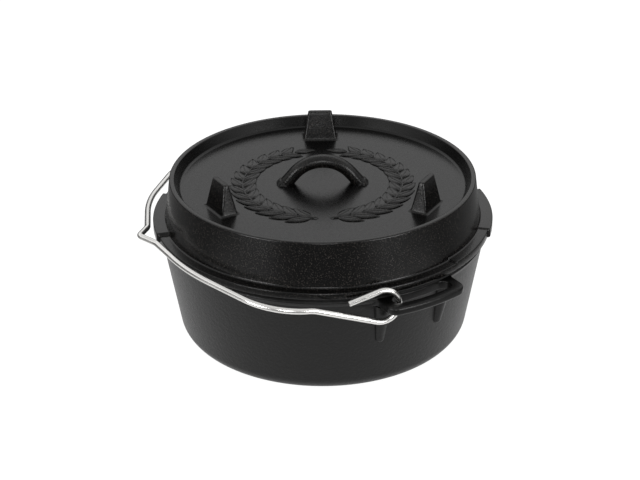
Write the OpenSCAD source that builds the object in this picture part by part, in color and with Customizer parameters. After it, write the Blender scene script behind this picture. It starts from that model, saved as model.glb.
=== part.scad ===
// Camp dutch oven: cast pot with two loop lugs, deep cast lid with feet and a loop handle, wire bail.
// Millimetres. Z is up, the base stands on Z = 0, and the bail turns about a line along X.

/* [Pot] */
// Height of the pot from the ground to its rim
pot_h = 94; // [80:0.5:130]
// Outer radius of the wall at the rim
pot_rim_r = 135.6; // [115:0.1:160]
// How much smaller the wall is at the ground than at the rim
pot_draft = 15.9; // [8:0.1:22]
// Thickness of the side wall
wall_t = 5.5; // [4.5:0.1:7]
// Thickness of the base
base_t = 6; // [4.5:0.1:9]
// Outside radius where the wall turns into the base
heel_r = 14.3; // [10:0.1:20]
// Height of the thicker band at the rim
rim_band_h = 7; // [5:0.5:12]
// How far that band stands out of the wall
rim_band_t = 0.8; // [0.4:0.1:1.2]
// Bevel on the edges of the pot's rim, the flange and the coal rim
edge_bevel = 0.8; // [0.4:0.1:1.2]

/* [Lugs] */
// Drop from the rim to the top of the lugs
lug_drop = 4; // [3.5:0.25:6]
// Thickness of the lug's plate
lug_t = 7; // [6:0.25:8]
// Distance from the wall at the rim to the slot
slot_inset = 1.4; // [1:0.1:2]
// Width of the curved slot
slot_w = 11.5; // [10.5:0.25:13]
// Length of the slot from end to end
slot_len = 53; // [45:0.5:60]
// Width of the grip bar outside the slot
bar_w = 7.5; // [6:0.25:9]
// Width of the web at each end of the slot
web_w = 8.5; // [7:0.25:10]
// Distance from the bail's pivot line to the middle of the web in its hook
web_set = 3.8; // [3:0.1:5]
// Corner radius at the outer ends of the lug
lug_corner_r = 8; // [5:0.5:10]
// Hollow radius where the lug runs into the wall
lug_root_r = 10; // [6:0.5:12]
// Rounding of the grip bar's edges
bar_edge_r = 2.2; // [1:0.1:2.6]
// Height of the tapered bosses below the plate
boss_h = 33; // [20:1:40]
// Radius of a boss under the plate
boss_top_r = 7; // [5:0.25:7]
// Radius of a boss at its rounded tip
boss_tip_r = 4; // [3:0.1:4]
// Depth of the tip's middle below the face of the wall
boss_tip_set = 1; // [0.5:0.25:2]
// How far a boss stands out of the wall under the plate
boss_reach = 6.2; // [4:0.25:6.5]

/* [Lid] */
// Height of the lid from its seat on the rim to the coal rim's top
lid_h = 42.3; // [36:0.1:50]
// How far the flange stands out over the pot's rim
flange_over = 3.4; // [2:0.1:4]
// Thickness of the flange
flange_t = 5.6; // [4:0.1:7]
// Distance from the pot's rim in to the foot of the lid's wall
lid_inset = 4.8; // [3:0.1:7]
// How much narrower the lid's wall is at its top
lid_draft = 4.8; // [2:0.1:6]
// Width of the coal rim's top
coal_rim_w = 4; // [3:0.1:6]
// Depth of the coal recess below that rim
recess_d = 9; // [6:0.1:14]
// How much smaller the recess is at its floor
recess_draft = 4; // [2:0.1:6]
// Radius where the recess turns into the panel
recess_heel_r = 3; // [2:0.1:5]
// Thickness of the lid's panel
panel_t = 6; // [4.5:0.1:8]
// Thickness of the lid's wall
lid_wall_t = 5.5; // [4.5:0.1:6]
// Radius inside the lid where its wall turns into the panel
lid_heel_r = 5.5; // [4:0.1:8]
// Hollow radius between wall and flange
flange_fillet_r = 1.5; // [1:0.1:4]
// Depth of the locating lip that hangs inside the rim
lip_h = 4; // [3:0.25:8]
// Clearance between that lip and the pot
lid_play = 0.8; // [0.5:0.1:1.2]
// How far the two grip wings stand out of the flange
wing_over = 2; // [1:0.1:3]
// Arc that each wing takes up
wing_arc = 32; // [24:1:40]
// Rise of the wings above the flange
wing_rise = 2.3; // [1:0.1:4]
// Arc of the low step beside each wing
step_arc = 26; // [15:1:30]
// Rise of that step above the flange
step_rise = 1.3; // [0.5:0.1:2]
// Turn of the lid as it was put on the pot
lid_turn = 72.6; // [65:0.1:80]

/* [Lid feet and handle] */
// Height of the feet above the panel
foot_h = 25; // [20:0.5:30]
// Distance from the panel's edge to the middle of a foot
foot_inset = 23.7; // [18:0.1:35]
// Width of a foot at the panel
foot_base_w = 28.5; // [20:0.5:32]
// Depth of a foot at the panel
foot_base_d = 14.5; // [11:0.25:16]
// Width of a foot at its top
foot_top_w = 20.3; // [14:0.1:24]
// Depth of a foot at its top
foot_top_d = 4.4; // [3:0.1:6]
// Height of the handle's top above the panel
handle_h = 25.2; // [22:0.1:26]
// Radius of the arch along the middle of the bar
arch_r = 30; // [24:0.5:34]
// Half angle of the arch before its straight legs
arch_half = 50; // [40:1:60]
// Width of the handle's bar
handle_w = 11; // [9:0.25:13]
// Thickness of the handle's bar
handle_t = 8.5; // [7:0.25:11]
// Bevel along the bar's edges
handle_bevel = 2.2; // [0.5:0.1:3]
// Rise and reach of the bevelled pad at each of its legs
leg_pad_rise = 2.5; // [1.5:0.1:3.5]

/* [Bail] */
// Diameter of the wire
wire_d = 5; // [4:0.1:5.5]
// Middle radius of the round hook about the web
hook_r = 13.5; // [13:0.1:15]
// Slope of the wire where it runs up to the hook
lead_slope = 14; // [13:0.25:15]
// Slope of the hook's free tip
tip_slope = 21; // [18:0.5:24]
// Reach of the tip from the pivot line
tip_reach = 28; // [24:0.5:28.5]
// Clearance between the hooks and the lid's flange
hook_gap = 0.8; // [0.5:0.1:1.5]
// Clearance under the wire where it rests on a lug
rest_gap = 0.4; // [0.3:0.1:1]
// Clearance between the wire beside the V kink and the lid's wings
grip_gap = 3.2; // [2.5:0.1:8]
// Half width of the V kink
kink_half_w = 15; // [12:0.5:18]
// Depth of the V kink
kink_d = 10.3; // [8:0.1:14]
// Slope of the grip on either side of the kink
grip_slope = 13.5; // [10:0.1:16]
// Sideways place of the gentle bend that ends the grip
bend_x = 66.3; // [55:0.1:75]
// Slope of the shoulder from that bend to the corner
shoulder_slope = 31.3; // [28:0.1:33]
// Radius of the corner bend, where the lead leaves room for it
corner_r = 51; // [30:0.5:51]
// Radius of the gentle bend
grip_bend_r = 150; // [80:5:160]
// Radius of the tight bend at the tip of the kink
kink_tip_r = 4.5; // [4:0.25:8]
// Radius of the bends on either side of the kink
kink_foot_r = 14; // [6:0.5:16]
// Radius of the bend where the wire leaves the bail's plane
lead_bend_r = 20; // [12:1:24]

/* [Hidden] */
$fn = 96;
over = 1;
blend = 0.05;
least_run = 0.01;
wire_sides = 14;
bend_step = 15;
eye_parts = 3;

pot_ground_r = pot_rim_r - pot_draft;
pot_k = pot_draft / pot_h;
pot_skew = sqrt(1 + pot_k * pot_k);
pot_inner_ground_r = pot_ground_r - wall_t * pot_skew;
pot_inner_rim_r = pot_inner_ground_r + pot_k * pot_h;

lug_top = pot_h - lug_drop;
lug_bottom = lug_top - lug_t;
slot_in_r = pot_rim_r + slot_inset;
slot_out_r = slot_in_r + slot_w;
slot_mid_r = slot_in_r + slot_w / 2;
lug_r = slot_out_r + bar_w;
lug_half = slot_len / 2 + web_w;
slot_end_turn = asin((slot_len / 2 - slot_w / 2) / slot_mid_r);
web_turn = asin((slot_len / 2 + web_w / 2) / slot_mid_r);
lug_turn = asin((slot_len / 2 + web_w / 2 + web_set) / slot_mid_r);

flange_r = pot_rim_r + flange_over;
wing_r = flange_r + wing_over;
panel_z = lid_h - recess_d;
lid_foot_r = pot_rim_r - lid_inset;
lid_top_r = lid_foot_r - lid_draft;
lid_k = lid_draft / (lid_h - flange_t);
lid_skew = sqrt(1 + lid_k * lid_k);
lid_inner_seat_r = lid_foot_r + lid_k * flange_t - lid_wall_t * lid_skew;
lip_out_r = pot_inner_rim_r - lid_play;
coal_rim_in_r = lid_top_r - coal_rim_w;
panel_r = coal_rim_in_r - recess_draft;

wire_r = wire_d / 2;
pivot_z = lug_top - lug_t / 2;
hook_x = flange_r + hook_gap + wire_r;
lead_reach = hook_r / sin(lead_slope);
rest_tilt = asin((lug_t / 2 + wire_r + rest_gap) / lead_reach);
kink_foot = wing_r + grip_gap + wire_r;
bend_reach = kink_foot - (bend_x - kink_half_w) * tan(grip_slope);
corner_reach = bend_reach - (hook_x - bend_x) * tan(shoulder_slope);
corner_room = corner_reach - lead_reach - lead_bend_r * tan(lead_slope / 2);
corner_bend_r = min(corner_r, corner_room / tan((90 - shoulder_slope) / 2));

// Half section of a straight-sided dish with a rounded heel: r at the floor line, growth k, heights
module dish_section(ground_r, k, floor_z, heel, top_z) {
    skew = sqrt(1 + k * k);
    heel_x = ground_r + k * (floor_z + heel) - heel * skew;
    wall_x = heel_x + heel / skew;
    wall_z = floor_z + heel - heel * k / skew;
    polygon([[0, floor_z], [heel_x, floor_z], [wall_x, wall_z], [ground_r + k * top_z, top_z], [0, top_z]]);
    translate([heel_x, floor_z + heel])
        intersection() {
            circle(heel + blend);
            translate([-over, -heel])
                square([heel + 2 * over, heel]);
        }
}

// The cast bowl with its rim band, open at the top
module bowl() {
    band_z = pot_h - rim_band_h;
    band_foot_r = pot_ground_r + pot_k * band_z;
    rotate_extrude()
        difference() {
            union() {
                dish_section(pot_ground_r, pot_k, 0, heel_r, pot_h);
                polygon([
                    [band_foot_r - over, band_z - over],
                    [band_foot_r + rim_band_t, band_z + rim_band_t],
                    [pot_rim_r + rim_band_t, pot_h - edge_bevel],
                    [pot_rim_r + rim_band_t - edge_bevel, pot_h],
                    [pot_rim_r - over - edge_bevel, pot_h]
                ]);
            }
            dish_section(pot_inner_ground_r, pot_k, base_t, heel_r - wall_t, pot_h + over);
        }
}

// Wedge from the middle that covers a circle over a half turn either side of +X
module wedge(half_turn, r) {
    reach = (r + over) / cos(half_turn);
    polygon([[0, 0], reach * [cos(half_turn), -sin(half_turn)], reach * [cos(half_turn), sin(half_turn)]]);
}

// Outline of a lug seen from above, with hollow roots and rounded outer corners, along +X
module lug_outline() {
    corner_y = lug_half - lug_corner_r;
    corner_x = sqrt(pow(lug_r - lug_corner_r, 2) - pow(corner_y, 2));
    root_y = lug_half + lug_root_r;
    root_d = pot_rim_r - wall_t / 2 + lug_root_r;
    root_x = sqrt(root_d * root_d - root_y * root_y);
    inner_x = root_x - 2 * lug_root_r;
    plate_x = pot_rim_r - wall_t;
    intersection() {
        circle(lug_r);
        union() {
            wedge(atan2(corner_y, corner_x), lug_r);
            translate([plate_x, -lug_half])
                square([corner_x - plate_x, 2 * lug_half]);
            for (side = [-1, 1])
                translate([corner_x, side * corner_y])
                    circle(lug_corner_r + blend);
        }
    }
    for (side = [0, 1])
        mirror([0, side])
            difference() {
                polygon([
                    [inner_x, lug_half - lug_root_r / 2], [root_x, lug_half - lug_root_r / 2],
                    [root_x, root_y], (1 - (lug_root_r + over) / root_d) * [root_x, root_y]
                ]);
                translate([root_x, root_y])
                    circle(lug_root_r + blend);
            }
}

// Curved slot with round ends
module slot_outline() {
    for (side = [-1, 1])
        rotate(side * slot_end_turn)
            translate([slot_mid_r, 0])
                circle(slot_w / 2 + blend);
    intersection() {
        difference() {
            circle(slot_out_r);
            circle(slot_in_r);
        }
        wedge(slot_end_turn, slot_out_r);
    }
}

// Tapered boss that runs down the wall under a web
module boss() {
    tip_z = lug_bottom - boss_h;
    tip_x = pot_ground_r + pot_k * tip_z - boss_tip_set;
    top_x = pot_ground_r + pot_k * lug_bottom + boss_reach - boss_top_r;
    lean = atan((top_x - tip_x) / boss_h);
    intersection() {
        translate([tip_x, 0, tip_z])
            rotate([0, lean, 0]) {
                sphere(boss_tip_r + blend);
                cylinder(h = boss_h / cos(lean) + boss_top_r, r1 = boss_tip_r, r2 = boss_top_r);
            }
        translate([0, -2 * boss_top_r, tip_z - 2 * boss_tip_r])
            cube([lug_r, 4 * boss_top_r, boss_h + 2 * boss_tip_r + over]);
    }
}

// One loop lug with its rounded bar and two bosses, along +X
module lug() {
    intersection() {
        translate([0, 0, lug_bottom])
            linear_extrude(lug_t)
                difference() {
                    lug_outline();
                    slot_outline();
                }
        rotate_extrude() {
            translate([0, lug_bottom + bar_edge_r])
                square([lug_r, lug_t - 2 * bar_edge_r]);
            translate([0, lug_bottom])
                square([lug_r - bar_edge_r, lug_t]);
            for (z = [lug_bottom + bar_edge_r, lug_top - bar_edge_r])
                translate([lug_r - bar_edge_r, z])
                    circle(bar_edge_r);
        }
    }
    for (side = [-1, 1])
        rotate(side * web_turn)
            boss();
}

module pot() {
    color("dimgray")
        difference() {
            union() {
                bowl();
                for (half = [0, 180])
                    rotate(half + lug_turn)
                        lug();
            }
            rotate_extrude()
                dish_section(pot_inner_ground_r, pot_k, base_t, heel_r - wall_t, pot_h + over);
        }
}

// Half section of the lid's shell, seat at zero height
module lid_section() {
    fillet_x = lid_foot_r - lid_k * flange_fillet_r + flange_fillet_r * lid_skew;
    fillet_z = flange_t + flange_fillet_r;
    difference() {
        union() {
            polygon([
                [0, 0], [flange_r, 0], [flange_r, flange_t - edge_bevel],
                [flange_r - edge_bevel, flange_t], [0, flange_t]
            ]);
            polygon([
                [0, flange_t], [lid_foot_r, flange_t], [lid_top_r + lid_k * edge_bevel, lid_h - edge_bevel],
                [lid_top_r - edge_bevel, lid_h], [0, lid_h]
            ]);
            difference() {
                polygon([
                    [lid_foot_r - over, flange_t - over],
                    [fillet_x, flange_t - over],
                    [fillet_x, flange_t],
                    [fillet_x - flange_fillet_r / lid_skew, fillet_z - flange_fillet_r * lid_k / lid_skew],
                    [lid_foot_r - over, fillet_z - flange_fillet_r * lid_k / lid_skew]
                ]);
                translate([fillet_x, fillet_z])
                    circle(flange_fillet_r + blend);
            }
            polygon([
                [lid_inner_seat_r - over, 0],
                [lip_out_r, 0],
                [lip_out_r - pot_k * lip_h, -lip_h],
                [lid_inner_seat_r - over, -lip_h]
            ]);
        }
        translate([0, panel_z])
            dish_section(panel_r, recess_draft / recess_d, 0, recess_heel_r, recess_d + over);
        polygon([
            [0, lid_h - edge_bevel - over], [coal_rim_in_r - edge_bevel - over, lid_h - edge_bevel - over],
            [coal_rim_in_r + edge_bevel + over, lid_h + over], [0, lid_h + over]
        ]);
        translate([0, panel_z - panel_t])
            mirror([0, 1])
                dish_section(
                    lid_inner_seat_r - lid_k * (panel_z - panel_t), lid_k, 0, lid_heel_r,
                    panel_z - panel_t + lip_h + over
                );
    }
}

// Ring sector between two heights that runs into the lid's wall
module flange_sector(from, arc, out_r, low, high) {
    in_r = lid_foot_r - lid_k * (high - flange_t) - over;
    rotate(from)
        rotate_extrude(angle = arc)
            translate([in_r, low])
                square([out_r - in_r, high - low]);
}

// Tapered foot on the panel, along +X
module lid_foot() {
    translate([panel_r - foot_inset, 0, panel_z])
        intersection() {
            rotate([90, 0, 0])
                linear_extrude(2 * foot_base_w, center = true)
                    polygon([
                        [-foot_base_d / 2, -over], [foot_base_d / 2, -over], [foot_base_d / 2, 0],
                        [foot_top_d / 2, foot_h], [-foot_top_d / 2, foot_h], [-foot_base_d / 2, 0]
                    ]);
            rotate([90, 0, 90])
                linear_extrude(2 * foot_base_d, center = true)
                    polygon([
                        [-foot_base_w / 2, -over], [foot_base_w / 2, -over], [foot_base_w / 2, 0],
                        [foot_top_w / 2, foot_h], [-foot_top_w / 2, foot_h], [-foot_base_w / 2, 0]
                    ]);
        }
}

// Bevelled section of the handle's bar
module bar_section() {
    t = handle_t / 2;
    w = handle_w / 2;
    b = handle_bevel;
    polygon([
        [-t, -w + b], [-t + b, -w], [t - b, -w], [t, -w + b],
        [t, w - b], [t - b, w], [-t + b, w], [-t, w - b]
    ]);
}

// Low bevelled pad where a leg of the handle runs into the panel
module leg_pad() {
    top = handle_t / 2 / sin(arch_half);
    foot = top + leg_pad_rise;
    rotate([90, 0, 0])
        linear_extrude(handle_w, center = true)
            polygon([
                [-foot, -over], [foot, -over], [foot, 0],
                [top, leg_pad_rise], [-top, leg_pad_rise], [-foot, 0]
            ]);
}

// Arched loop handle in the lid's X-Z plane
module lid_handle() {
    axis_z = panel_z + handle_h - handle_t / 2 - arch_r;
    leg_drop = axis_z + arch_r * cos(arch_half) - panel_z;
    leg_len = (leg_drop + over) / sin(arch_half) + handle_t / 2 / tan(arch_half);
    leg_x = arch_r * sin(arch_half) + leg_drop / tan(arch_half);
    intersection() {
        translate([0, 0, axis_z])
            rotate([90, 0, 0]) {
                rotate(90 - arch_half)
                    rotate_extrude(angle = 2 * arch_half)
                        translate([arch_r, 0])
                            bar_section();
                for (side = [0, 1])
                    mirror([side, 0, 0])
                        rotate(90 - arch_half)
                            translate([arch_r, 0, 0])
                                rotate([90, 0, 0])
                                    linear_extrude(leg_len)
                                        bar_section();
            }
        translate([-2 * leg_x, -handle_w, panel_z - over])
            cube([4 * leg_x, 2 * handle_w, handle_h + 2 * over]);
    }
    for (side = [-1, 1])
        translate([side * leg_x, 0, panel_z])
            leg_pad();
}

module lid() {
    color("slategray")
        translate([0, 0, pot_h])
            rotate(lid_turn) {
                rotate_extrude()
                    lid_section();
                for (half = [0, 180])
                    rotate(half) {
                        flange_sector(-wing_arc / 2, wing_arc, wing_r, 0, flange_t + wing_rise);
                        flange_sector(
                            -wing_arc / 2 - step_arc, step_arc + wing_arc / 2,
                            flange_r - 2 * edge_bevel, flange_t - over, flange_t + step_rise
                        );
                    }
                for (turn = [90, 210, 330])
                    rotate(turn)
                        lid_foot();
                lid_handle();
            }
}

// Corners of one half of the bail from the kink to the hook's tip: across, along and out of its plane
function eye_corner(i) =
    let (step = (180 + tip_slope + lead_slope) / eye_parts)
    let (a = lead_slope - 90 - step * (i + 0.5), r = hook_r / cos(step / 2))
    [hook_x, -r * cos(a), r * sin(a)];
half_corners = [
    [kink_half_w, -kink_foot, 0],
    [bend_x, -bend_reach, 0],
    [hook_x, -corner_reach, 0],
    [hook_x, -lead_reach, 0],
    for (i = [0:eye_parts - 1]) eye_corner(i),
    [hook_x, -tip_reach, hook_r / cos(tip_slope) - tan(tip_slope) * tip_reach]
];
half_radii = [
    kink_foot_r, grip_bend_r, corner_bend_r, lead_bend_r,
    for (i = [1:eye_parts]) hook_r,
    0
];
half_count = len(half_corners);
bail_corners = [
    for (i = [half_count - 1:-1:0]) [-half_corners[i].x, half_corners[i].y, -half_corners[i].z],
    [0, -kink_foot - kink_d, 0],
    each half_corners
];
bail_radii = [for (i = [half_count - 1:-1:0]) half_radii[i], kink_tip_r, each half_radii];

function unit(v) = v / norm(v);
function heading(p, i) = unit(p[i + 1] - p[i]);
function turn_at(p, i) = acos(max(-1, min(1, heading(p, i - 1) * heading(p, i))));

// Points along one rounded corner of the wire, from tangent to tangent
function bend_points(p, r, i) =
    let (
        a = heading(p, i - 1),
        b = heading(p, i),
        turn = turn_at(p, i),
        inward = unit(b - a * (a * b)),
        centre = p[i] - a * r[i] * tan(turn / 2) + inward * r[i],
        steps = ceil(turn / bend_step) + 1
    )
    [for (k = [0:steps]) centre + r[i] * (a * sin(turn * k / steps) - inward * cos(turn * k / steps))];

// Drops a point that falls on the one before it, where one bend runs straight into the next
function distinct(p) = [for (i = [0:len(p) - 1]) if (i == 0 || norm(p[i] - p[i - 1]) > least_run) p[i]];
function wire_path(p, r) =
    distinct([p[0], for (i = [1:len(p) - 2]) each bend_points(p, r, i), p[len(p) - 1]]);

// Directions along a path, and side vectors that turn with it without twisting
function path_headings(p) =
    [for (i = [0:len(p) - 1]) unit(p[min(i + 1, len(p) - 1)] - p[max(i - 1, 0)])];
function side_vectors(t) =
    [for (i = 0, u = unit(cross(t[0], [1, 0, 0])); i < len(t); i = i + 1,
        u = i < len(t) ? unit(u - t[i] * (u * t[i])) : u) u];

// Round wire swept along the corners, each rounded with its own bend radius
module bent_wire(p, r, radius) {
    path = wire_path(p, r);
    along = path_headings(path);
    side = side_vectors(along);
    rings = len(path);
    n = wire_sides;
    points = [for (i = [0:rings - 1], k = [0:n - 1])
        path[i] + radius * (side[i] * cos(360 * k / n) + cross(along[i], side[i]) * sin(360 * k / n))];
    walls = [for (i = [0:rings - 2], k = [0:n - 1])
        let (a = i * n + k, b = i * n + (k + 1) % n)
        each [[a, b + n, b], [a, a + n, b + n]]];
    start = [for (k = [0:n - 1]) k];
    end = [for (k = [1:n]) rings * n - k];
    polyhedron(points, [start, each walls, end]);
}

module bail() {
    color("silver")
        translate([0, 0, pivot_z])
            rotate([-rest_tilt, 0, 0])
                bent_wire(bail_corners, bail_radii, wire_r);
}

pot();
lid();
bail();
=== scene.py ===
import bmesh
import bpy
import numpy as np
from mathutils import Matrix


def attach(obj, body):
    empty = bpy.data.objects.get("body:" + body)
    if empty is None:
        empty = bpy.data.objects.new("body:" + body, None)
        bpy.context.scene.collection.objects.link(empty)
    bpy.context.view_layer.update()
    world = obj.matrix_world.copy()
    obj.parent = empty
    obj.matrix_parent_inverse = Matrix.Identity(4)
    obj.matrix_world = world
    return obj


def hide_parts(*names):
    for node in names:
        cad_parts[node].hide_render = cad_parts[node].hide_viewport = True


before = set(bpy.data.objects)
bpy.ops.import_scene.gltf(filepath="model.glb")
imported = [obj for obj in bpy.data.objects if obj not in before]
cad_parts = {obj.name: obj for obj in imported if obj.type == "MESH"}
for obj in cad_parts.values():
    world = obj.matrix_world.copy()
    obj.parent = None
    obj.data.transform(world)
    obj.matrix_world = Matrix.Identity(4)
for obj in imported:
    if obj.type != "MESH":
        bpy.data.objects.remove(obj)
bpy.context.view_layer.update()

# The pot is one grey iron casting: a flat base, a wall that leans out and a thicker band at the rim.
# Two loop lugs with curved slots are cast on below the rim, each on two tapered bosses.
# It is sand cast, so the skin has a fine grain, and seasoned black with oil.
MM = 0.001  # sizes are written in millimetres, and the meshes are in metres
POT_HEIGHT, POT_RIM, POT_DRAFT, POT_WALL, POT_BASE, POT_HEEL = 94.0, 135.6, 15.9, 5.5, 6.0, 14.3
RIM_BAND, RIM_BAND_OUT, RIM_BEVEL_IN, RIM_BEVEL_LOW = 8.5, 0.8, 4.0, 4.6
BOWL_ROUNDS = (POT_HEEL, 1.0, 0.5, 1.6, 0.4, 0.8, POT_HEEL - POT_WALL)
BOWL_ROUND_STEPS = (16, 4, 4, 7, 4, 6, 12)
STEPS_ROUND = 288
SLOT_IN, SLOT_OUT, SLOT_HALF = 137.0, 148.5, 26.5
LUG_OUT, LUG_HALF, LUG_CORNER, LUG_ROOT, LUG_SINK = 156.0, 35.0, 8.0, 10.0, 1.0
LUG_LOW, LUG_THICK, LUG_EDGE, SLOT_EDGE, LUG_TURN = 83.0, 7.0, 2.2, 1.0, 14.006
BOSS_HEIGHT, BOSS_TOP, BOSS_TIP, BOSS_REACH, BOSS_SINK = 33.0, 7.4, 4.0, 6.2, 1.0
BOWL_SAND, LUG_SAND, BOSS_SAND = 0.6, 0.2, 0.6


def rounded(corners, radii, steps):
    """Corners of a line, shape (..., n, d), with each inner corner replaced by an arc: the arc's middle
    lies one radius inward of the tangent points, and it turns by the angle between the runs."""
    line = [corners[..., :1, :]]
    for i, (radius, count) in enumerate(zip(radii, steps), start=1):
        into = corners[..., i, :] - corners[..., i - 1, :]
        away = corners[..., i + 1, :] - corners[..., i, :]
        into = into / np.linalg.norm(into, axis=-1, keepdims=True)
        away = away / np.linalg.norm(away, axis=-1, keepdims=True)
        cosine = np.sum(into * away, axis=-1, keepdims=True).clip(-1, 1)
        turn = np.arccos(cosine)
        inward = away - into * cosine
        inward = inward / np.linalg.norm(inward, axis=-1, keepdims=True).clip(1e-9)
        middle = corners[..., i, :] - into * radius * np.tan(turn / 2) + inward * radius
        swing = turn[..., None, :] * np.linspace(0, 1, count)[:, None]
        bow = into[..., None, :] * np.sin(swing) - inward[..., None, :] * np.cos(swing)
        line.append(middle[..., None, :] + radius * bow)
    line.append(corners[..., -1:, :])
    return np.concatenate(line, axis=-2)


def spun(profile, turns):
    """A profile of radius and height carried round Z: x = r cos t, y = r sin t, z = h."""
    radius, height = profile[..., 0], profile[..., 1]
    return np.stack([radius * np.cos(turns), radius * np.sin(turns), height + 0 * turns], axis=-1)


def turned(points, degrees):
    """Points turned about Z by an angle: x' = x cos a - y sin a, y' = x sin a + y cos a."""
    a = np.radians(degrees)
    spin = np.array([[np.cos(a), np.sin(a), 0], [-np.sin(a), np.cos(a), 0], [0, 0, 1]])
    return points @ spin


def arc(middle, radius, start, end, count):
    """Points on an arc in the plane, middle + r (cos a, sin a), from one angle to another in degrees."""
    a = np.radians(np.linspace(start, end, count))
    return np.stack([middle[0] + radius * np.cos(a), middle[1] + radius * np.sin(a)], axis=-1)


def skin(points, close_rows, close_columns):
    """Quads between neighbours of a grid of points: row r and r + 1, column c and c + 1.
    The first row or column follows the last where the grid is closed that way."""
    rows, columns = points.shape[:2]
    r = np.arange(rows if close_rows else rows - 1)[:, None]
    c = np.arange(columns if close_columns else columns - 1)[None, :]
    r2, c2 = (r + 1) % rows, (c + 1) % columns
    quads = np.stack([r * columns + c, r2 * columns + c, r2 * columns + c2, r * columns + c2], axis=-1)
    return quads.reshape(-1, 4)


def formed(name, grids, material, crease=38):
    """One mesh from grids of points in millimetres, each (points, close_rows, close_columns, coarse),
    where coarse says how rough the sand left that part of the skin, from 0 to 1."""
    points, quads, sandy, first = [], [], [], 0
    for grid, close_rows, close_columns, coarse in grids:
        points.append(grid.reshape(-1, 3) * MM)
        sandy.append(np.full(grid.shape[:2], coarse).ravel())
        quads.append(skin(grid, close_rows, close_columns) + first)
        first += grid.shape[0] * grid.shape[1]
    mesh = bpy.data.meshes.new(name)
    mesh.from_pydata(np.concatenate(points).tolist(), [], np.concatenate(quads).tolist())
    mesh.attributes.new("coarse", "FLOAT", "POINT").data.foreach_set("value", np.concatenate(sandy))
    work = bmesh.new()
    work.from_mesh(mesh)
    bmesh.ops.remove_doubles(work, verts=work.verts, dist=1e-6)
    bmesh.ops.dissolve_degenerate(work, edges=work.edges, dist=1e-7)
    bmesh.ops.recalc_face_normals(work, faces=work.faces)
    work.to_mesh(mesh)
    work.free()
    mesh.shade_smooth()
    mesh.set_sharp_from_angle(angle=np.radians(crease))
    mesh.materials.append(material)
    piece = bpy.data.objects.new(name, mesh)
    bpy.context.collection.objects.link(piece)
    return piece


wall_lean = POT_DRAFT / POT_HEIGHT
ground = POT_RIM - POT_DRAFT
inner_ground = ground - POT_WALL * np.hypot(1, wall_lean)
band_low = POT_HEIGHT - RIM_BAND
band_foot = ground + wall_lean * band_low
rim_out = POT_RIM + RIM_BAND_OUT
bowl_corners = np.array([
    (0, 0), (ground, 0),
    (band_foot, band_low), (band_foot + RIM_BAND_OUT, band_low + RIM_BAND_OUT),
    (rim_out, POT_HEIGHT - RIM_BEVEL_LOW), (rim_out - RIM_BEVEL_IN, POT_HEIGHT),
    (inner_ground + POT_DRAFT, POT_HEIGHT),
    (inner_ground + wall_lean * POT_BASE, POT_BASE), (0, POT_BASE),
])
bowl_line = rounded(bowl_corners, BOWL_ROUNDS, BOWL_ROUND_STEPS)
bowl = spun(bowl_line[None], np.linspace(0, 2 * np.pi, STEPS_ROUND, endpoint=False)[:, None])

slot_mid, slot_end = (SLOT_IN + SLOT_OUT) / 2, (SLOT_OUT - SLOT_IN) / 2
slot_turn = np.degrees(np.arcsin((SLOT_HALF - slot_end) / slot_mid))
slot_centre = slot_mid * np.array([np.cos(np.radians(slot_turn)), np.sin(np.radians(slot_turn))])
corner_y = LUG_HALF - LUG_CORNER
corner_x = np.sqrt((LUG_OUT - LUG_CORNER) ** 2 - corner_y ** 2)
corner_turn = np.degrees(np.arctan2(corner_y, corner_x))
in_the_wall = POT_RIM - POT_WALL / 2
root_y = LUG_HALF + LUG_ROOT
root_x = np.sqrt((in_the_wall + LUG_ROOT) ** 2 - root_y ** 2)
root_turn = np.degrees(np.arctan2(root_y, root_x))
half_rim = [
    arc((0, 0), LUG_OUT, 0, corner_turn, 13),
    arc((corner_x, corner_y), LUG_CORNER, corner_turn, 90, 12)[1:],
    np.linspace([corner_x, LUG_HALF], [root_x, LUG_HALF], 5)[1:-1],
    arc((root_x, root_y), LUG_ROOT, 270, 180 + root_turn, 10),
    arc((0, 0), in_the_wall - LUG_SINK, root_turn, 0, 13),
]
half_slot = [
    arc((0, 0), SLOT_OUT, 0, slot_turn, 13),
    arc(slot_centre, slot_end, slot_turn, slot_turn + 90, 12)[1:],
    arc(slot_centre, slot_end, slot_turn + 90, slot_turn + 180, 14)[1:],
    arc((0, 0), SLOT_IN, slot_turn, 0, 13),
]
rim_edge, slot_edge = np.concatenate(half_rim), np.concatenate(half_slot)
rim_edge = np.concatenate([rim_edge, rim_edge[-2:0:-1] * (1, -1)])
slot_edge = np.concatenate([slot_edge, slot_edge[-2:0:-1] * (1, -1)])


def loop_lug():
    """The lug as a bar bent round its slot: at each step a rounded section spans from the slot's edge
    to the lug's edge, so point = slot + (rim - slot) s with s across and z through the section."""
    across = np.linalg.norm(rim_edge - slot_edge, axis=-1)
    none, half = 0 * across, LUG_THICK / 2 + 0 * across
    corners = [(across / 2, -half), (across, -half), (across, half), (none, half), (none, -half)]
    corners = np.stack([np.stack(pair, axis=-1) for pair in corners + corners[:1]], axis=-2)
    section = rounded(corners, (LUG_EDGE, LUG_EDGE, SLOT_EDGE, SLOT_EDGE), (6, 6, 5, 5))[:, :-1]
    reach = (section[..., :1] / across[:, None, None]) * (rim_edge - slot_edge)[:, None, :]
    plan = slot_edge[:, None, :] + reach
    return np.concatenate([plan, LUG_LOW + LUG_THICK / 2 + section[..., 1:]], axis=-1)


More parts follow.
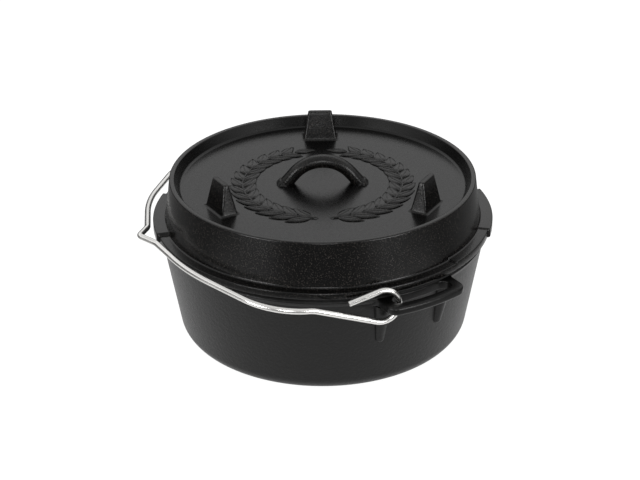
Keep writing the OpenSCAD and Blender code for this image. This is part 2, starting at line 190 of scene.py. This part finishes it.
def tapered_boss(turn):
    """A quarter circle for the tip and a straight taper above it, spun about an axis that leans with the
    wall: x' = x cos l + z sin l, z' = z cos l - x sin l, where l is the lean."""
    low = LUG_LOW - BOSS_HEIGHT
    foot = np.array([ground + wall_lean * low - BOSS_SINK, 0, low])
    top_x = ground + wall_lean * LUG_LOW + BOSS_REACH - BOSS_TOP
    lean = np.arctan2(top_x - foot[0], BOSS_HEIGHT)
    end = BOSS_HEIGHT + LUG_SINK
    tip = np.radians(np.linspace(-90, 0, 8))
    radius = np.concatenate([BOSS_TIP * np.cos(tip), np.linspace(BOSS_TIP, BOSS_TOP, 10)[1:], [0]])
    along = np.concatenate([BOSS_TIP * np.sin(tip), np.linspace(0, end, 10)[1:], [end]])
    turns = np.linspace(0, 2 * np.pi, 40, endpoint=False)[:, None]
    shape = spun(np.stack([radius, along], axis=-1)[None], turns)
    x = shape[..., 0] * np.cos(lean) + shape[..., 2] * np.sin(lean)
    z = shape[..., 2] * np.cos(lean) - shape[..., 0] * np.sin(lean)
    return turned(np.stack([x, shape[..., 1], z], axis=-1) + foot, turn)


web_turn = np.degrees(np.arcsin((SLOT_HALF + LUG_HALF) / 2 / slot_mid))
pot_shapes = [(bowl, True, False, BOWL_SAND)]
for lug_turn in (LUG_TURN, 180 + LUG_TURN):
    pot_shapes.append((turned(loop_lug(), lug_turn), True, True, LUG_SAND))
    for side in (-web_turn, web_turn):
        pot_shapes.append((tapered_boss(lug_turn + side), True, False, BOSS_SAND))

TONE_PATCH, GRIT_SIZE, GRIT_HEIGHT = 46.0, 0.95, 0.012
GRIT_TOPS, RUBBED_SMOOTH, RUBBED_DULL, SATIN_SWING = (0.6, 0.69), 0.1, 0.09, 0.05
DUST_PER_GRAIN, SWELL_PER_GRAIN, PIT_PER_DEPTH = 0.35, 2.6, 0.07


def noise(tree, size, detail, rough):
    """A noise from 0 to 1 over the piece's own place, in lumps of about a size in millimetres."""
    node = tree.nodes.new("ShaderNodeTexNoise")
    node.inputs["Scale"].default_value = 1 / MM / size
    node.inputs["Detail"].default_value = detail
    node.inputs["Roughness"].default_value = rough
    tree.links.new(tree.nodes.new("ShaderNodeTexCoord").outputs["Object"], node.inputs["Vector"])
    return node.outputs["Fac"]


def spread(tree, value, span, onto, kind="LINEAR"):
    """A value carried from one span of numbers onto another, straight or by a smooth step, and held
    at both ends."""
    node = tree.nodes.new("ShaderNodeMapRange")
    node.interpolation_type = kind
    for socket, number in zip(("From Min", "From Max", "To Min", "To Max"), (*span, *onto)):
        node.inputs[socket].default_value = number
    tree.links.new(value, node.inputs["Value"])
    return node.outputs["Result"]


def worked(tree, kind, first, second):
    """Two values added or multiplied, or the larger of the two, as the kind says."""
    node = tree.nodes.new("ShaderNodeMath")
    node.operation = kind
    tree.links.new(first, node.inputs[0])
    tree.links.new(second, node.inputs[1])
    return node.outputs["Value"]


def mixed(tree, share, first, second):
    """Two colours mixed: first (1 - share) + second share."""
    node = tree.nodes.new("ShaderNodeMix")
    node.data_type = "RGBA"
    node.inputs["A"].default_value = (*first, 1)
    node.inputs["B"].default_value = (*second, 1)
    tree.links.new(share, node.inputs["Factor"])
    return node


def relief(tree, height, depth, under=None, strength=None):
    """A bump of height times depth, in millimetres, over the bump under it, and weaker by a strength."""
    node = tree.nodes.new("ShaderNodeBump")
    node.inputs["Distance"].default_value = depth * MM
    tree.links.new(height, node.inputs["Height"])
    if under is not None:
        tree.links.new(under, node.inputs["Normal"])
    if strength is not None:
        tree.links.new(strength, node.inputs["Strength"])
    return node.outputs["Normal"]


def seasoned_iron(name, dark, pale, speck, grain, depth, satin, coarse_satin, gloss):
    """Seasoned cast iron. Its tone wanders from dark to pale over some centimetres, with sparse pale specks
    that are partly bare metal on the grain tips and partly painted glints of light.
    Its skin is a pebble noise of a grain and depth in millimetres, over fine pits and a longer swell.
    Its oil film is duller where the sand was coarse, and where the skin is rubbed smooth."""
    material = bpy.data.materials.new(name)
    material.use_nodes = True
    tree = material.node_tree
    shader = tree.nodes["Principled BSDF"]
    shader.inputs["Specular IOR Level"].default_value = gloss
    sand = tree.nodes.new("ShaderNodeAttribute")
    sand.attribute_name = "coarse"
    coarse = sand.outputs["Fac"]
    pebble = noise(tree, grain, 3, 0.55)

    loose = spread(tree, noise(tree, GRIT_SIZE, 1, 0.5), GRIT_TOPS, (0, 1))
    grit = worked(tree, "MULTIPLY", loose, spread(tree, coarse, (0, RUBBED_SMOOTH), (0, 1)))
    patches = spread(tree, noise(tree, TONE_PATCH, 5, 0.6), (0.35, 0.68), (0, 1))
    tone = mixed(tree, patches, dark, pale)
    # The specks are painted partly as bare metal on the grain tips and partly as glints of light on them.
    bare_and_glints = mixed(tree, grit, pale, speck)
    tree.links.new(tone.outputs["Result"], bare_and_glints.inputs["A"])
    tree.links.new(bare_and_glints.outputs["Result"], shader.inputs["Base Color"])

    film = spread(tree, pebble, (0.3, 0.7), (satin - SATIN_SWING, satin + SATIN_SWING))
    film = worked(tree, "ADD", film, spread(tree, coarse, (0, 1), (0, coarse_satin - satin)))
    film = worked(tree, "ADD", film, spread(tree, coarse, (0, RUBBED_SMOOTH), (RUBBED_DULL, 0)))
    tree.links.new(film, shader.inputs["Roughness"])

    swell = noise(tree, grain * SWELL_PER_GRAIN, 2, 0.5)
    dust = noise(tree, grain * DUST_PER_GRAIN, 2, 0.5)
    bump = relief(tree, swell, depth, strength=spread(tree, coarse, (0, 0.6), (0.35, 1)))
    bump = relief(tree, dust, depth * PIT_PER_DEPTH, bump)
    bump = relief(tree, pebble, depth, bump, spread(tree, coarse, (0, 1), (0.2, 1)))
    bump = relief(tree, grit, GRIT_HEIGHT, bump)
    tree.links.new(bump, shader.inputs["Normal"])
    return material


# The pot's speck colour is partly bare metal and partly painted glints of light on the grain.
pot_iron = seasoned_iron(
    "pot_iron", dark=(0.0012, 0.0012, 0.0012), pale=(0.0026, 0.0025, 0.0024),
    speck=(0.006, 0.0057, 0.0054), grain=1.1, depth=0.2, satin=0.3, coarse_satin=0.42, gloss=0.28,
)
pot = formed("pot_casting", pot_shapes, pot_iron)
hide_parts("pot")
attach(pot, "pot")

# The lid is a second casting, finer than the pot: a deep cap on a flange, with a rim on top for coals.
# Two grip wings and two low steps stand on the flange, and a lip below locates it in the pot.
# Three tapered feet, an arched handle and a laurel wreath are cast on its panel.
LID_HEIGHT, LID_FLANGE, FLANGE_THICK, LID_FOOT, LID_TOP = 42.3, 139.0, 5.6, 130.8, 126.0
COAL_RIM, RECESS_DEPTH, RECESS_DRAFT, PANEL_THICK, LID_WALL = 4.0, 9.0, 4.0, 6.0, 5.5
LIP_DEPTH, LIP_PLAY, LID_TURN = 4.0, 0.8, 72.6
LID_ROUNDS = (5.5, 0.8, 0.8, 0.4, 0.8, 0.9, 1.5, 1.2, 1.0, 2.6)
LID_ROUND_STEPS = (10, 4, 4, 3, 5, 6, 9, 7, 7, 9)
WING_OUT, WING_RISE, WING_HALF, WING_SLOPE = 2.0, 2.3, 16.0, 0.9
STEP_RISE, STEP_ARC, STEP_SLOPE = 1.3, 26.0, 0.36
WALL_SAND, PANEL_SAND, HANDLE_SAND, WREATH_SAND, FOOT_SAND = 0.1, 0.0, 0.5, 0.3, 0.55
panel = LID_HEIGHT - RECESS_DEPTH
under_panel = panel - PANEL_THICK
lid_lean = (LID_FOOT - LID_TOP) / (LID_HEIGHT - FLANGE_THICK)
seat_in = LID_FOOT + lid_lean * FLANGE_THICK - LID_WALL * np.hypot(1, lid_lean)
lip_out = inner_ground + POT_DRAFT - LIP_PLAY

step_start = -WING_HALF - STEP_ARC
ends = np.array([-WING_HALF, WING_HALF, 180 - WING_HALF, 180 + WING_HALF, step_start, 180 + step_start])
ends = (ends[:, None] + np.linspace(-0.5, 0.5, 17)).ravel()
lid_turns = np.concatenate([np.linspace(-120, 240, STEPS_ROUND, endpoint=False), ends])
lid_turns = np.unique(np.round(lid_turns, 4))


def raised(start, end, slope):
    """1 between two of the lid's angles and 0 outside them, with a smooth step b b (3 - 2 b) at each end
    that is as wide as the slope, in degrees."""
    up = ((lid_turns - start) / slope + 0.5).clip(0, 1)
    down = ((end - lid_turns) / slope + 0.5).clip(0, 1)
    between = np.minimum(up, down)
    return between * between * (3 - 2 * between)


wings = raised(-WING_HALF, WING_HALF, WING_SLOPE) + raised(180 - WING_HALF, 180 + WING_HALF, WING_SLOPE)
steps = raised(step_start, 0, STEP_SLOPE) + raised(180 + step_start, 180, STEP_SLOPE)
flange_edge = LID_FLANGE + WING_OUT * wings
flange_top = FLANGE_THICK + np.maximum(WING_RISE * wings, STEP_RISE * steps)
lid_corners = [
    (0, under_panel), (seat_in - lid_lean * under_panel, under_panel),
    (seat_in + lid_lean * LIP_DEPTH, -LIP_DEPTH), (lip_out - wall_lean * LIP_DEPTH, -LIP_DEPTH),
    (lip_out, 0), (flange_edge, 0), (flange_edge, flange_top),
    (LID_FOOT - lid_lean * (flange_top - FLANGE_THICK), flange_top),
    (LID_TOP, LID_HEIGHT), (LID_TOP - COAL_RIM, LID_HEIGHT), (LID_TOP - COAL_RIM - RECESS_DRAFT, panel),
    (0, panel),
]
same = 0 * lid_turns
lid_corners = np.stack([np.stack([r + same, z + same], axis=-1) for r, z in lid_corners], axis=-2)
lid_line = rounded(lid_corners, LID_ROUNDS, LID_ROUND_STEPS)
lid_shell = spun(lid_line, np.radians(lid_turns)[:, None])
lid_sand = np.where(lid_line[..., 0] > LID_TOP - COAL_RIM, WALL_SAND, PANEL_SAND)

FOOT_PLACE, FOOT_HEIGHT, FOOT_BASE, FOOT_TOP = 94.3, 25.0, (14.5, 28.5), (4.4, 20.3)
FOOT_FLARE, FOOT_SINK, FOOT_CORNER, FOOT_CROWN, FOOT_TURNS = 1.8, 0.5, 1.6, 1.0, (90, 210, 330)
QUARTER = 7  # points on a quarter circle
round_corner = np.concatenate([arc((0, 0), 1, a, a + 90, QUARTER) for a in (0, 90, 180, 270)])
four_corners = np.repeat([(1, 1), (-1, 1), (-1, -1), (1, -1)], QUARTER, axis=0)


def lid_foot(turn):
    """A rounded oblong that shrinks in a straight taper from panel to top: each corner is a quarter circle
    at the half sizes less its radius. It flares by a quarter circle at the panel and rounds over on top."""
    edge = np.radians(np.linspace(0, 90, QUARTER))
    shoulder = FOOT_HEIGHT - FOOT_CROWN
    straight = np.linspace(FOOT_FLARE, shoulder, 8)[1:-1]
    height = np.concatenate([
        [-FOOT_SINK], FOOT_FLARE * (1 - np.cos(edge)), straight,
        shoulder + FOOT_CROWN * np.sin(edge), [FOOT_HEIGHT],
    ])
    flare = np.concatenate([
        [FOOT_FLARE], FOOT_FLARE * (1 - np.sin(edge)), 0 * straight, FOOT_CROWN * (np.cos(edge) - 1), [0],
    ])
    part = (height / FOOT_HEIGHT).clip(0, 1)
    half_deep = FOOT_BASE[0] / 2 + (FOOT_TOP[0] - FOOT_BASE[0]) / 2 * part + flare
    half_wide = FOOT_BASE[1] / 2 + (FOOT_TOP[1] - FOOT_BASE[1]) / 2 * part + flare
    half_deep[-1], half_wide[-1] = 0, 0
    bend = np.minimum(FOOT_CORNER, half_deep)[:, None]
    x = four_corners[:, 0] * (half_deep[:, None] - bend) + bend * round_corner[:, 0]
    y = four_corners[:, 1] * (half_wide[:, None] - bend).clip(0) + bend * round_corner[:, 1]
    y[-1] = 0
    z = np.repeat((height + panel)[:, None], len(four_corners), axis=1)
    return turned(np.stack([x + FOOT_PLACE, y, z], axis=-1), turn)


HANDLE_TOP, ARCH, ARCH_HALF, HANDLE_SINK = 25.1, 30.0, 50.0, 0.6
BAR_WIDE, BAR_THICK, BAR_EDGE, LEG_LONG, LEG_FLARE = 12.0, 10.6, 5.1, 16, 0.8


def lid_handle():
    """A rounded bar carried along an arch and two straight legs: point = path + n u + y v, where n is the
    path's outward normal and u and v run round the section. Both grow near the panel by a quarter circle."""
    middle = panel + HANDLE_TOP - BAR_THICK / 2 - ARCH
    swing = np.radians(np.linspace(-ARCH_HALF, ARCH_HALF, 41))
    leg = np.linspace(LEG_LONG, 0, LEG_LONG + 1)[:-1, None]
    end = np.radians(ARCH_HALF)
    path = np.stack([ARCH * np.sin(swing), middle + ARCH * np.cos(swing)], axis=-1)
    normal = np.stack([np.sin(swing), np.cos(swing)], axis=-1)
    left = path[0] - leg * [np.cos(end), np.sin(end)]
    right = path[-1] + leg[::-1] * [np.cos(end), -np.sin(end)]
    path = np.concatenate([left, path, right])
    left_normal, right_normal = np.repeat(normal[:1], len(leg), 0), np.repeat(normal[-1:], len(leg), 0)
    normal = np.concatenate([left_normal, normal, right_normal])
    over = ((path[:, 1] - panel) / LEG_FLARE).clip(0, 1)
    flare = LEG_FLARE * (1 - np.sqrt(1 - (1 - over) ** 2))[:, None]
    u = four_corners[:, 0] * (BAR_THICK / 2 - BAR_EDGE + flare) + BAR_EDGE * round_corner[:, 0]
    v = four_corners[:, 1] * (BAR_WIDE / 2 - BAR_EDGE + flare) + BAR_EDGE * round_corner[:, 1]
    x = path[:, :1] + normal[:, :1] * u
    z = path[:, 1:] + normal[:, 1:] * u
    bar = np.stack([x, v, np.maximum(z, panel - HANDLE_SINK)], axis=-1)
    caps = bar.mean(axis=1, keepdims=True)[[0, -1]] + 0 * bar[[0, -1]]
    return np.concatenate([caps[:1], bar, caps[1:]])


WREATH, SPRAY_FROM, SPRAY_TO, SPRAY_LEAVES, LEAF_SINK = 66.0, 9.0, 160.0, 15, 0.5
LEAF_LONG, LEAF_SHRINK, LEAF_WIDE, LEAF_HIGH, LEAF_SPLAY, LEAF_LEAN = 22.0, 0.18, 8.6, 1.5, 33.0, 8.0
LEAF_BRIM, VEIN_DEEP, VEIN_WIDE = 0.45, 0.55, 0.16
STEM_WIDE, STEM_HIGH, STEM_EARLY, STEM_TIP, STEM_STEPS = 2.4, 1.3, 6.0, 0.45, 60


def leaf(place, heading, long):
    """A leaf on the panel: along s its half width is w sin(pi s^0.8)^0.9, and across t it is crowned as
    h (b + (1 - b) (1 - t^2)) with b the brim's share, less a vein d exp(-(t / e)^2) down the middle.
    It is lower at both ends, and its edges go straight down into the panel."""
    s = np.linspace(0, 1, 15)[:, None]
    t = np.array([-1, -1, -0.8, -0.5, -0.2, 0, 0.2, 0.5, 0.8, 1, 1])
    half = LEAF_WIDE / 2 * np.sin(np.pi * s ** 0.8) ** 0.9
    crown = LEAF_HIGH * (LEAF_BRIM + (1 - LEAF_BRIM) * (1 - t * t))
    crown = crown - VEIN_DEEP * np.exp(-((t / VEIN_WIDE) ** 2))
    crown = crown * np.minimum(1, 0.35 + 4 * s * (1 - s))
    crown[:, [0, -1]] = -LEAF_SINK
    along, across = long * s + 0 * t, half * t
    c, d = np.cos(np.radians(heading)), np.sin(np.radians(heading))
    x = place[0] + along * c - across * d
    y = place[1] + along * d + across * c
    return np.stack([x, y, panel + crown], axis=-1)


def stem(side):
    """A half-round rod laid on the panel along an arc, that thins towards its tip: across t its radius is
    R + w cos t and its height h sin t, both times the thinning."""
    swing = np.radians(270 + side * np.linspace(SPRAY_FROM - STEM_EARLY, SPRAY_TO, STEM_STEPS))[:, None]
    t = np.radians(np.linspace(0, 180, 9))
    thin = np.linspace(1, STEM_TIP, STEM_STEPS)[:, None]
    radius = WREATH + STEM_WIDE / 2 * np.cos(t) * thin
    height = STEM_HIGH * np.sin(t) * thin
    height[:, [0, -1]] = -LEAF_SINK
    height[[0, -1]] = -LEAF_SINK
    return np.stack([radius * np.cos(swing), radius * np.sin(swing), panel + height], axis=-1)


lid_shapes = [(lid_shell, True, False, lid_sand), (lid_handle(), False, True, HANDLE_SAND)]
lid_shapes += [(stem(side), False, True, WREATH_SAND) for side in (-1, 1)]
for side in (-1, 1):
    for i, swing in enumerate(np.linspace(SPRAY_FROM, SPRAY_TO, SPRAY_LEAVES)):
        round_panel = 270 + side * swing
        place = WREATH * np.array([np.cos(np.radians(round_panel)), np.sin(np.radians(round_panel))])
        ahead = round_panel + side * (90 + LEAF_LEAN)
        long = LEAF_LONG * (1 - LEAF_SHRINK * i / SPRAY_LEAVES)
        splays = (-LEAF_SPLAY, LEAF_SPLAY) if i < SPRAY_LEAVES - 1 else (0,)
        lid_shapes += [(leaf(place, ahead + splay, long), False, True, WREATH_SAND) for splay in splays]
lid_shapes += [(lid_foot(turn), False, True, FOOT_SAND) for turn in FOOT_TURNS]
seat = np.array([0, 0, POT_HEIGHT])
lid_shapes = [(turned(grid, LID_TURN) + seat, *kind) for grid, *kind in lid_shapes]

# The lid's speck colour is partly bare metal and partly painted glints of light on the grain.
lid_iron = seasoned_iron(
    "lid_iron", dark=(0.0006, 0.0006, 0.0006), pale=(0.0014, 0.0013, 0.0012),
    speck=(0.03, 0.026, 0.023), grain=0.9, depth=0.12, satin=0.17, coarse_satin=0.4, gloss=0.32,
)
lid = formed("lid_casting", lid_shapes, lid_iron)
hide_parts("lid")
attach(lid, "lid")

# The bail is one length of bright drawn steel wire, bent cold.
# Its grip has a V kink in the middle for a hook, and each end is an open round hook about a lug's web.
WIRE, HOOK, HOOK_ACROSS, LEAD_SLOPE, TIP_SLOPE, TIP_REACH = 5.0, 13.5, 142.3, 14.0, 21.0, 28.0
KINK_FOOT, KINK_HALF, KINK_DEPTH, KINK_BEND = 146.7, 15.0, 10.3, 4.5
BEND_ACROSS, GRIP_SLOPE, SHOULDER_SLOPE = 66.3, 13.5, 31.3
PIVOT_HEIGHT, REST_GAP = LUG_LOW + LUG_THICK / 2, 0.4
WIRE_SIDES, LEAST_STEP = 28, 0.05
WIRE_SHARE = 0.998  # a hair thinner than its solid, so that it stays inside the solid's box
lead_reach = HOOK / np.sin(np.radians(LEAD_SLOPE))
rest_tilt = np.arcsin((LUG_THICK / 2 + WIRE / 2 + REST_GAP) / lead_reach)
bend_reach = KINK_FOOT - (BEND_ACROSS - KINK_HALF) * np.tan(np.radians(GRIP_SLOPE))
corner_reach = bend_reach - (HOOK_ACROSS - BEND_ACROSS) * np.tan(np.radians(SHOULDER_SLOPE))
eye_step = (180 + TIP_SLOPE + LEAD_SLOPE) / 3
eye_turn = np.radians(LEAD_SLOPE - 90 - eye_step * (np.arange(3) + 0.5))
eye_reach = HOOK / np.cos(np.radians(eye_step / 2))
eye_across = HOOK_ACROSS + 0 * eye_turn
eye = np.stack([eye_across, -eye_reach * np.cos(eye_turn), eye_reach * np.sin(eye_turn)], axis=-1)
tip_slope = np.radians(TIP_SLOPE)
tip_rise = HOOK / np.cos(tip_slope) - np.tan(tip_slope) * TIP_REACH
half_bail = np.concatenate([
    [(KINK_HALF, -KINK_FOOT, 0), (BEND_ACROSS, -bend_reach, 0)],
    [(HOOK_ACROSS, -corner_reach, 0), (HOOK_ACROSS, -lead_reach, 0)],
    eye, [(HOOK_ACROSS, -TIP_REACH, tip_rise)],
])
half_bends = [14.0, 150.0, 51.0, 20.0, HOOK, HOOK, HOOK]
half_steps = [8, 14, 20, 8, 14, 14, 14]
kink_tip = [(0, -KINK_FOOT - KINK_DEPTH, 0)]
bail_corners = np.concatenate([half_bail[::-1] * (-1, 1, -1), kink_tip, half_bail])
bail_bends = half_bends[::-1] + [KINK_BEND] + half_bends
bail_line = rounded(bail_corners, bail_bends, half_steps[::-1] + [12] + half_steps)
moved = np.linalg.norm(np.diff(bail_line, axis=0), axis=-1) > LEAST_STEP
bail_line = bail_line[np.concatenate([[True], moved])]


def drawn_wire(line, diameter, sides):
    """A round section carried along a line: point = line + r (a cos t + b sin t), a square to the line and
    to a slanted reference, b square to both. The ends close over a small rounded edge."""
    along = np.gradient(line, axis=0)
    along = along / np.linalg.norm(along, axis=-1, keepdims=True)
    side = np.cross(along, np.array([1.0, 0.0, 1.0]))
    side = side / np.linalg.norm(side, axis=-1, keepdims=True)
    other = np.cross(along, side)
    edge = np.array([0.0, 0.86, 0.96])
    inset = np.array([0.0, 0.0, 0.12])[:, None]
    first, last = line[0] + along[0] * inset, line[-1] - along[-1] * inset[::-1]
    line = np.concatenate([first, line[1:-1], last])
    radius = diameter / 2 * np.concatenate([edge, np.ones(len(line) - 6), edge[::-1]])
    side, other = (np.concatenate([v[[0, 0]], v, v[[-1, -1]]]) for v in (side, other))
    t = np.linspace(0, 2 * np.pi, sides, endpoint=False)[:, None]
    ring = side[:, None] * np.cos(t) + other[:, None] * np.sin(t)
    return line[:, None] + radius[:, None, None] * ring


sine, cosine = np.sin(rest_tilt), np.cos(rest_tilt)
tilt = np.array([[1, 0, 0], [0, cosine, -sine], [0, sine, cosine]])
wire = drawn_wire(bail_line, WIRE_SHARE * WIRE, WIRE_SIDES) @ tilt + [0, 0, PIVOT_HEIGHT]

STEEL_DARK, STEEL_PALE, STEEL_SATIN = (0.76, 0.75, 0.73), (0.9, 0.89, 0.87), (0.16, 0.3)
STEEL_PATCH, SCRATCH_APART, SCRATCH_DEEP = 14.0, 0.5, 0.012


def bright_wire(name):
    """Bright drawn steel: a grey that wanders over a centimetre or so, duller where it is paler,
    under fine scratches half a millimetre apart."""
    material = bpy.data.materials.new(name)
    material.use_nodes = True
    tree = material.node_tree
    shader = tree.nodes["Principled BSDF"]
    shader.inputs["Metallic"].default_value = 1
    patch = noise(tree, STEEL_PATCH, 4, 0.5)
    tone = mixed(tree, patch, STEEL_DARK, STEEL_PALE)
    scratches = relief(tree, noise(tree, SCRATCH_APART, 3, 0.5), SCRATCH_DEEP)
    tree.links.new(tone.outputs["Result"], shader.inputs["Base Color"])
    tree.links.new(spread(tree, patch, (0, 1), STEEL_SATIN), shader.inputs["Roughness"])
    tree.links.new(scratches, shader.inputs["Normal"])
    return material


bail = formed("bail_wire", [(wire, False, True, 0.0)], bright_wire("bail_wire"))
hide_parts("bail")
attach(bail, "bail")

# The studio: a white sheet with pools of light painted into its glow round the oven and at its two front
# corners, seen only in reflections, a white backdrop behind it and a dim room in front, with a low soft lamp
# at each side and a weaker one in front.
VIEW_TURN, VIEW_RISE, VIEW_FAR, VIEW_LENS, VIEW_ROLL = 71.6, 27.225, 1350.0, 90.25, -0.42
VIEW_TARGET = np.array([-2.451, 0.0, 74.16])
rise, roll = np.radians(VIEW_RISE), np.radians(VIEW_ROLL)
look = np.array([0, np.cos(rise), -np.sin(rise)])
right, up = np.array([1.0, 0, 0]), np.array([0, np.sin(rise), np.cos(rise)])
right, up = np.cos(roll) * right + np.sin(roll) * up, np.cos(roll) * up - np.sin(roll) * right
axes = turned(np.stack([right, up, -look]), VIEW_TURN)
stand = turned(VIEW_TARGET - VIEW_FAR * look, VIEW_TURN) * MM
camera = bpy.data.objects.new("camera", bpy.data.cameras.new("camera"))
bpy.context.collection.objects.link(camera)
camera.data.lens = VIEW_LENS
camera.data.sensor_width = 36
camera.data.clip_end = 50
pose = np.eye(4)
pose[:3] = np.stack([*axes, stand], axis=-1)
camera.matrix_world = pose.T.tolist()
bpy.context.scene.camera = camera

HORIZON, HORIZON_GLOW = (0.2, 0.36), (0.04, 1.0)
CEILING, CEILING_GLOW = (0.6, 0.8), (1.0, 0.75)
FRONT, FRONT_GLOW = (-0.85, -0.35), (0.45, 1.0)
world = bpy.data.worlds.new("studio")
bpy.context.scene.world = world
world.use_nodes = True
tree = world.node_tree
toward = tree.nodes.new("ShaderNodeTexCoord").outputs["Generated"]
facing = tree.nodes.new("ShaderNodeVectorMath")
facing.operation = "DOT_PRODUCT"
facing.inputs[1].default_value = turned(np.array([0.0, 1.0, 0.0]), VIEW_TURN).tolist()
tree.links.new(toward, facing.inputs[0])
split = tree.nodes.new("ShaderNodeSeparateXYZ")
tree.links.new(toward, split.inputs["Vector"])
above = split.outputs["Z"]
low_glow = spread(tree, above, HORIZON, HORIZON_GLOW, "SMOOTHSTEP")
high_glow = spread(tree, above, CEILING, CEILING_GLOW, "SMOOTHSTEP")
front_glow = spread(tree, facing.outputs["Value"], FRONT, FRONT_GLOW, "SMOOTHSTEP")
backdrop = worked(tree, "MULTIPLY", worked(tree, "MULTIPLY", low_glow, high_glow), front_glow)
seen = tree.nodes.new("ShaderNodeMix")
seen.inputs["B"].default_value = 1
tree.links.new(tree.nodes.new("ShaderNodeLightPath").outputs["Is Camera Ray"], seen.inputs["Factor"])
tree.links.new(backdrop, seen.inputs["A"])
tree.links.new(seen.outputs["Result"], tree.nodes["Background"].inputs["Strength"])
tree.nodes["Background"].inputs["Color"].default_value = (1, 1, 1, 1)

SHEET_HALF, SHEET_GREY, SHEET_GLOW = 6, 0.2, 0.94
corners = [(-1, -1, 0), (1, -1, 0), (1, 1, 0), (-1, 1, 0)]
floor_mesh = bpy.data.meshes.new("floor")
floor_mesh.from_pydata((SHEET_HALF * np.array(corners)).tolist(), [], [(0, 1, 2, 3)])
floor = bpy.data.objects.new("floor", floor_mesh)
bpy.context.collection.objects.link(floor)
sheet = bpy.data.materials.new("white_sheet")
sheet.use_nodes = True
tree = sheet.node_tree
tree.nodes.remove(tree.nodes["Principled BSDF"])
matt = tree.nodes.new("ShaderNodeBsdfDiffuse")
matt.inputs["Color"].default_value = (SHEET_GREY, SHEET_GREY, SHEET_GREY, 1)
glow = tree.nodes.new("ShaderNodeEmission")
ray = tree.nodes.new("ShaderNodeLightPath").outputs
on_sheet = tree.nodes.new("ShaderNodeTexCoord").outputs["Object"]


def pool(x, y, near, far, bright, dim):
    """How bright the sheet's painted glow is round a point, in metres in the view's own directions: one
    value up to a distance and another beyond, with a smooth step between them."""
    gap = tree.nodes.new("ShaderNodeVectorMath")
    gap.operation = "DISTANCE"
    tree.links.new(on_sheet, gap.inputs[0])
    gap.inputs[1].default_value = turned(np.array([x, y, 0.0]), VIEW_TURN).tolist()
    return spread(tree, gap.outputs["Value"], (near, far), (bright, dim), "SMOOTHSTEP")


# Painted pools of light: the sheet glows brighter round the oven and at its two front corners, for
# reflections only.
side_pools = [pool(x, -0.39, near=0.12, far=0.36, bright=0.68, dim=0.0) for x in (-0.46, 0.46)]
painted_glow = worked(tree, "MAXIMUM", *side_pools)
painted_glow = worked(tree, "MAXIMUM", pool(0.0, 0.0, near=0.2, far=0.33, bright=0.77, dim=0.04), painted_glow)
painted_glow = worked(tree, "MULTIPLY", painted_glow, pool(0.0, 0.0, near=0.5, far=0.9, bright=1.0, dim=0.4))
mirrored = worked(tree, "MAXIMUM", ray["Is Glossy Ray"], ray["Is Transmission Ray"])
painted_glow = worked(tree, "MULTIPLY", painted_glow, mirrored)
plain = tree.nodes.new("ShaderNodeMath")
plain.operation = "MULTIPLY_ADD"
plain.inputs[1].default_value = SHEET_GLOW
tree.links.new(ray["Is Camera Ray"], plain.inputs[0])
tree.links.new(painted_glow, plain.inputs[2])
tree.links.new(plain.outputs["Value"], glow.inputs["Strength"])
surface = tree.nodes.new("ShaderNodeAddShader")
tree.links.new(matt.outputs["BSDF"], surface.inputs[0])
tree.links.new(glow.outputs["Emission"], surface.inputs[1])
tree.links.new(surface.outputs["Shader"], tree.nodes["Material Output"].inputs["Surface"])
floor_mesh.materials.append(sheet)

LAMPS_AIM = np.array([0.0, 0.0, 0.12])


def soft_lamp(name, place, wide, high, power):
    """A soft box at a place in the view's own directions, in metres, turned towards the lid: its Z points
    from the lid to it, its X is level and its Y is square to both."""
    lamp = bpy.data.objects.new(name, bpy.data.lights.new(name, "AREA"))
    lamp.data.shape = "RECTANGLE"
    lamp.data.size, lamp.data.size_y = wide, high
    lamp.data.energy = power
    bpy.context.collection.objects.link(lamp)
    place = turned(np.array(place), VIEW_TURN)
    out = place - LAMPS_AIM
    out = out / np.linalg.norm(out)
    level = np.cross([0.0, 0.0, 1.0], out)
    level = level / np.linalg.norm(level)
    turn = np.eye(4)
    turn[:3] = np.stack([level, np.cross(out, level), out, place], axis=-1)
    lamp.matrix_world = turn.T.tolist()


soft_lamp("lamp_front", (0.0, -1.45, 0.62), wide=0.4, high=0.6, power=4.5)
soft_lamp("lamp_left", (-1.1, -1.1, 0.36), wide=0.7, high=0.4, power=9.5)
soft_lamp("lamp_right", (1.1, -1.1, 0.36), wide=0.7, high=0.4, power=9.5)

bpy.context.scene.view_settings.view_transform = "Standard"
